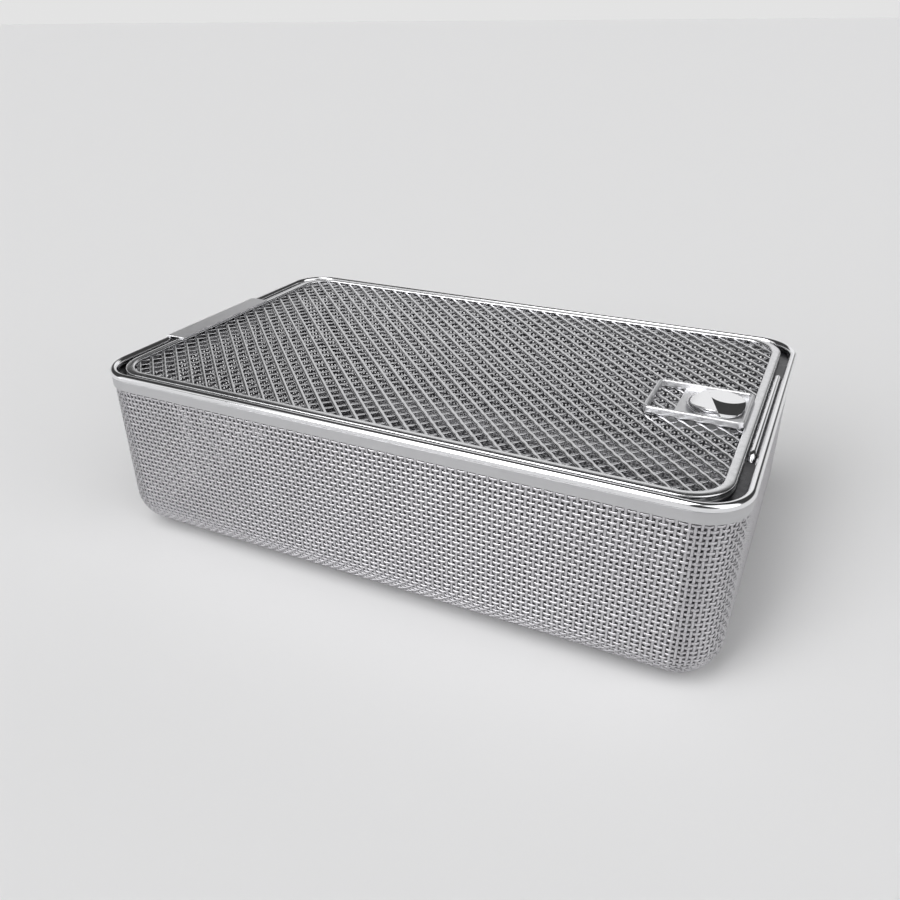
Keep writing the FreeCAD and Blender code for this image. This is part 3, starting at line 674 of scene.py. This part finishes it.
def make_tab(material):
    """Thumb tab: rings about its middle at tab_height, then an eased edge down to a round foot."""
    middle = (TAB_LOW + TAB_HIGH) / 2
    radius = (TAB_HIGH.x - TAB_LOW.x) / 2
    turn = np.linspace(0, 2 * math.pi, TAB_TURNS, endpoint=False)[:, None]
    r = np.linspace(TAB_HUB_R, radius - TAB_EDGE_R, TAB_RINGS)[None]
    x = middle.x + r * np.cos(turn)
    y = middle.y + r * np.sin(turn)
    top = tab_height(x, y)
    ease = np.linspace(0, math.pi / 2, 6)[None, 1:]
    edge_r = radius - TAB_EDGE_R + TAB_EDGE_R * np.sin(ease)
    low = TAB_LOW.z
    eased = top[:, -1:] - TAB_EDGE_R * (1 - np.cos(ease))
    edge_z = np.maximum(eased, low + TAB_FOOT_EDGE[0])
    foot_r = np.array([[radius, radius - TAB_FOOT_INSET, TAB_HUB_R]])
    foot_z = np.broadcast_to([[low + TAB_FOOT_EDGE[1], low, low]], (len(turn), 3))
    rings = np.concatenate([r, edge_r, foot_r], axis=1)
    z = np.concatenate([top, edge_z, foot_z], axis=1)
    verts = stacked(middle.x + rings * np.cos(turn), middle.y + rings * np.sin(turn), z)
    count = rings.shape[1]
    quads = grid_quads(len(turn), count, True, False)
    first = list(range(0, len(turn) * count, count))
    last = [index + count - 1 for index in first]
    caps = [first, last[::-1]]
    nodes = ["thumb_tab"]
    return piece("thumb_slide", verts, quads, "latch", material, nodes, caps)


def make_spring(material):
    """Wire bow: an arc about the tab's axis with two straight legs that run on at a tangent."""
    wire_r = (SPRING_HIGH.z - SPRING_LOW.z) / 2
    z = (SPRING_HIGH.z + SPRING_LOW.z) / 2
    centre_x = (TAB_LOW.x + TAB_HIGH.x) / 2
    radius = centre_x - SPRING_LOW.x - wire_r
    turn = np.linspace(2 * math.pi - SPRING_OPEN, SPRING_OPEN, 48)
    bow = stacked(centre_x + radius * np.cos(turn), LATCH_Y + radius * np.sin(turn), z)
    leg = (SPRING_HIGH.y - LATCH_Y - radius * math.sin(SPRING_OPEN)) / -math.cos(SPRING_OPEN)
    tip = stacked(math.sin(SPRING_OPEN) * leg, -math.cos(SPRING_OPEN) * leg, 0)
    first = bow[:1] + tip * (1, -1, 1)
    last = bow[-1:] + tip
    path = np.concatenate([first, bow, last])
    up = np.tile([0.0, 0.0, 1.0], (len(path), 1))
    verts, quads, caps = carried(path, along(path, up), up, round_profile(wire_r, SPRING_SIDES), False)
    verts[:, 1] = np.clip(verts[:, 1], SPRING_LOW.y, SPRING_HIGH.y)
    nodes = ["latch_spring"]
    wire = piece("latch_bow", verts, quads, None, material, nodes, caps)
    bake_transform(wire)
    return wire


def make_handle(material):
    """Wire bar with a quarter bend at each end, two legs, and a collar on each foot."""
    x = (HANDLE_LOW.x + HANDLE_HIGH.x) / 2
    half = HANDLE_HIGH.y - COLLAR_R
    top = HANDLE_HIGH.z - HANDLE_R
    turn = np.linspace(0, math.pi / 2, 16)
    bend_y = half - HANDLE_BEND_R + HANDLE_BEND_R * np.cos(turn)
    bend_z = top - HANDLE_BEND_R + HANDLE_BEND_R * np.sin(turn)
    y = np.concatenate([[half], bend_y, -bend_y[::-1], [-half]])
    z = np.concatenate([[HANDLE_LOW.z], bend_z, bend_z[::-1], [HANDLE_LOW.z]])
    path = stacked(x + 0 * y, y, z)
    side = np.tile([1.0, 0.0, 0.0], (len(path), 1))
    bar = carried(path, side, along(path, side), round_profile(HANDLE_R, HANDLE_SIDES), False)
    parts = [bar]
    for sign in (-1, 1):
        foot = stacked(x + np.zeros(2), sign * half, HANDLE_LOW.z + np.array([0, COLLAR_H]))
        across = np.tile([1.0, 0.0, 0.0], (2, 1))
        up = np.tile([0.0, 1.0, 0.0], (2, 1))
        parts.append(carried(foot, across, up, round_profile(COLLAR_R, COLLAR_SIDES), False))
    verts, quads, caps = merged(parts)
    nodes = ["handle"]
    return piece("pull_wire", verts, quads, "lifting_handle", material, nodes, caps)


def metal(name):
    """Steel: a noise varies its colour, and a finer one its roughness and a slight relief."""
    colour, dark, roughness, spread, grain, stretch, bump = FINISHES[name]
    material = bpy.data.materials.new(name)
    material.use_nodes = True
    tree = material.node_tree
    shader = tree.nodes["Principled BSDF"]
    shader.inputs["Metallic"].default_value = 1.0
    place = tree.nodes.new("ShaderNodeTexCoord")
    scale = tree.nodes.new("ShaderNodeMapping")
    scale.inputs["Scale"].default_value = stretch
    tree.links.new(place.outputs["Object"], scale.inputs["Vector"])
    coarse = noise(tree, scale, grain, COARSE_DETAIL)
    fine = noise(tree, scale, grain * GRAIN_RATIO, FINE_DETAIL)
    tint = tree.nodes.new("ShaderNodeMix")
    tint.data_type = "RGBA"
    tint.inputs["A"].default_value = (*dark, 1)
    tint.inputs["B"].default_value = (*colour, 1)
    tree.links.new(coarse.outputs["Fac"], tint.inputs["Factor"])
    tree.links.new(tint.outputs["Result"], shader.inputs["Base Color"])
    rough = tree.nodes.new("ShaderNodeMapRange")
    rough.inputs["From Min"].default_value = NOISE_RANGE[0]
    rough.inputs["From Max"].default_value = NOISE_RANGE[1]
    rough.inputs["To Min"].default_value = roughness - spread
    rough.inputs["To Max"].default_value = roughness + spread
    tree.links.new(fine.outputs["Fac"], rough.inputs["Value"])
    tree.links.new(rough.outputs["Result"], shader.inputs["Roughness"])
    relief = tree.nodes.new("ShaderNodeBump")
    relief.inputs["Strength"].default_value = RELIEF_STRENGTH
    relief.inputs["Distance"].default_value = bump
    tree.links.new(fine.outputs["Fac"], relief.inputs["Height"])
    tree.links.new(relief.outputs["Normal"], shader.inputs["Normal"])
    return material


def paint_inside_shade(material, colour):
    """Painted shade: mixes a darker colour in on the wires' inner sides, weighted by the point
    attribute that weave_piece stores, so that the inside of the basket looks shaded.
    """
    tree = material.node_tree
    base = tree.nodes["Principled BSDF"].inputs["Base Color"]
    inward_shade = tree.nodes.new("ShaderNodeAttribute")
    inward_shade.attribute_name = "inward_shade"
    mix = tree.nodes.new("ShaderNodeMix")
    mix.data_type = "RGBA"
    tree.links.new(base.links[0].from_socket, mix.inputs["A"])
    mix.inputs["B"].default_value = (*colour, 1)
    tree.links.new(inward_shade.outputs["Fac"], mix.inputs["Factor"])
    tree.links.new(mix.outputs["Result"], base)
    return material


def noise(tree, source, scale, detail):
    """Noise texture on mapped coordinates."""
    node = tree.nodes.new("ShaderNodeTexNoise")
    node.inputs["Scale"].default_value = scale
    node.inputs["Detail"].default_value = detail
    tree.links.new(source.outputs["Vector"], node.inputs["Vector"])
    return node


def finish_nodes(names, material):
    """Gives a finish to CAD nodes that stay as they are."""
    for name in names:
        slots = NODES[name].data.materials
        slots.clear()
        slots.append(material)


def make_stage():
    """Pale floor that the basket stands on."""
    half = FLOOR_HALF
    corners = [(-half, -half, 0), (half, -half, 0), (half, half, 0), (-half, half, 0)]
    mesh = bpy.data.meshes.new("floor")
    mesh.from_pydata(corners, [], [(0, 1, 2, 3)])
    floor = bpy.data.objects.new("floor", mesh)
    bpy.context.scene.collection.objects.link(floor)
    material = bpy.data.materials.new("pale_floor")
    material.use_nodes = True
    shader = material.node_tree.nodes["Principled BSDF"]
    shader.inputs["Base Color"].default_value = FLOOR_COLOUR
    shader.inputs["Roughness"].default_value = FLOOR_ROUGHNESS
    shader.inputs["Specular IOR Level"].default_value = FLOOR_SHINE
    mesh.materials.append(material)


def make_world():
    """Studio room: pale up to a low height, darker above, with soft panels of light."""
    world = bpy.data.worlds.new("studio")
    bpy.context.scene.world = world
    world.use_nodes = True
    tree = world.node_tree
    back = tree.nodes["Background"]
    place = tree.nodes.new("ShaderNodeTexCoord")
    direction = place.outputs["Generated"]
    split = tree.nodes.new("ShaderNodeSeparateXYZ")
    tree.links.new(direction, split.inputs["Vector"])
    total = smooth(tree, split.outputs["Z"], *ROOM_FADE, ROOM_LOW, ROOM_HIGH)
    for values in PANELS:
        total = math_node(tree, "ADD", total, panel(tree, direction, *values))
    tree.links.new(total, back.inputs["Color"])
    back.inputs["Strength"].default_value = 1.0


def math_node(tree, operation, first, second):
    """Math node on two sockets or numbers."""
    node = tree.nodes.new("ShaderNodeMath")
    node.operation = operation
    for socket, value in zip(node.inputs, (first, second)):
        if isinstance(value, (int, float)):
            socket.default_value = value
        else:
            tree.links.new(value, socket)
    return node.outputs[0]


def smooth(tree, value, start, end, low, high):
    """Smooth step of a socket from low at start to high at end."""
    node = tree.nodes.new("ShaderNodeMapRange")
    node.interpolation_type = "SMOOTHSTEP"
    limits = {"From Min": start, "From Max": end, "To Min": low, "To Max": high}
    for name, number in limits.items():
        node.inputs[name].default_value = number
    tree.links.new(value, node.inputs["Value"])
    return node.outputs["Result"]


def along_axis(tree, direction, axis):
    """Length of the direction along an axis."""
    node = tree.nodes.new("ShaderNodeVectorMath")
    node.operation = "DOT_PRODUCT"
    tree.links.new(direction, node.inputs[0])
    node.inputs[1].default_value = axis
    return node.outputs["Value"]


def panel(tree, direction, azimuth, elevation, half_wide, half_high, soft, strength):
    """Soft rectangular panel of light: the direction is divided by its length along the panel's
    axis, and a smooth step ends the light past half the width and half the height."""
    turn, rise = math.radians(azimuth), math.radians(elevation)
    ahead = (math.cos(turn) * math.cos(rise), math.sin(turn) * math.cos(rise), math.sin(rise))
    side = (-math.sin(turn), math.cos(turn), 0)
    sunk = -math.sin(rise)
    upright = (math.cos(turn) * sunk, math.sin(turn) * sunk, math.cos(rise))
    depth = math_node(tree, "MAXIMUM", along_axis(tree, direction, ahead), 0.001)
    glow = strength
    for axis, half in ((side, half_wide), (upright, half_high)):
        share = math_node(tree, "DIVIDE", along_axis(tree, direction, axis), depth)
        reach = math_node(tree, "ABSOLUTE", share, 0)
        edge = smooth(tree, reach, half - soft, half + soft, 1, 0)
        glow = math_node(tree, "MULTIPLY", glow, edge)
    return glow


def make_camera():
    """Camera at the photograph's place, looking down along its azimuth."""
    data = bpy.data.cameras.new("camera")
    data.sensor_width = SENSOR
    data.lens = CAMERA_FOCAL_PX / IMAGE_PX * SENSOR
    data.clip_start = 0.01
    camera = bpy.data.objects.new("camera", data)
    bpy.context.scene.collection.objects.link(camera)
    turn, down = CAMERA_AZIMUTH, CAMERA_DOWN
    level = math.cos(down)
    ahead = Vector((math.sin(turn) * level, math.cos(turn) * level, -math.sin(down)))
    right = Vector((math.cos(turn), -math.sin(turn), 0))
    up = right.cross(ahead)
    c, s = math.cos(CAMERA_ROLL), math.sin(CAMERA_ROLL)
    right, up = right * c + up * s, up * c - right * s
    matrix = Matrix((right, up, -ahead)).transposed().to_4x4()
    matrix.translation = CAMERA_AT
    camera.matrix_world = matrix
    bpy.context.scene.camera = camera


def dress():
    """Every finish and piece of the basket."""
    mesh_steel = metal("woven_steel")
    polished = metal("polished_steel")
    satin = metal("satin_steel")
    clamp = metal("clamp_steel")
    lower = metal("lower_strip_painted_shade")
    strip = metal("strip_steel")
    brushed = metal("brushed_strap")
    drawn = metal("drawn_wire")
    latch = metal("latch_steel")
    spring = metal("spring_steel")
    ledge_shade = metal("ledge_painted_shade")
    # The pan's wires get painted shade on their inner sides.
    make_pan(paint_inside_shade(mesh_steel, WIRE_INSIDE_SHADE))
    make_bead(polished)
    make_band(clamp)
    make_lid_frame(strip, lower)
    make_lattice(drawn)
    make_slot_border(drawn)
    make_strap(brushed)
    make_housing(latch)
    make_tab(polished)
    make_spring(spring)
    make_handle(polished)
    finish_nodes(("inner_rim_band", "handle_guide_blocks"), satin)
    finish_nodes(("latch_ledge_skirt", "hinge_ledge_skirt"), satin)
    # The ledges get the near-black painted shade.
    finish_nodes(("latch_ledge", "hinge_ledge"), ledge_shade)
    finish_nodes(("latch_plate", "bolt_guides", "slide_bolt", "slide_post"), latch)


dress()
make_stage()
make_world()
make_camera()
bpy.context.scene.view_settings.view_transform = "Standard"
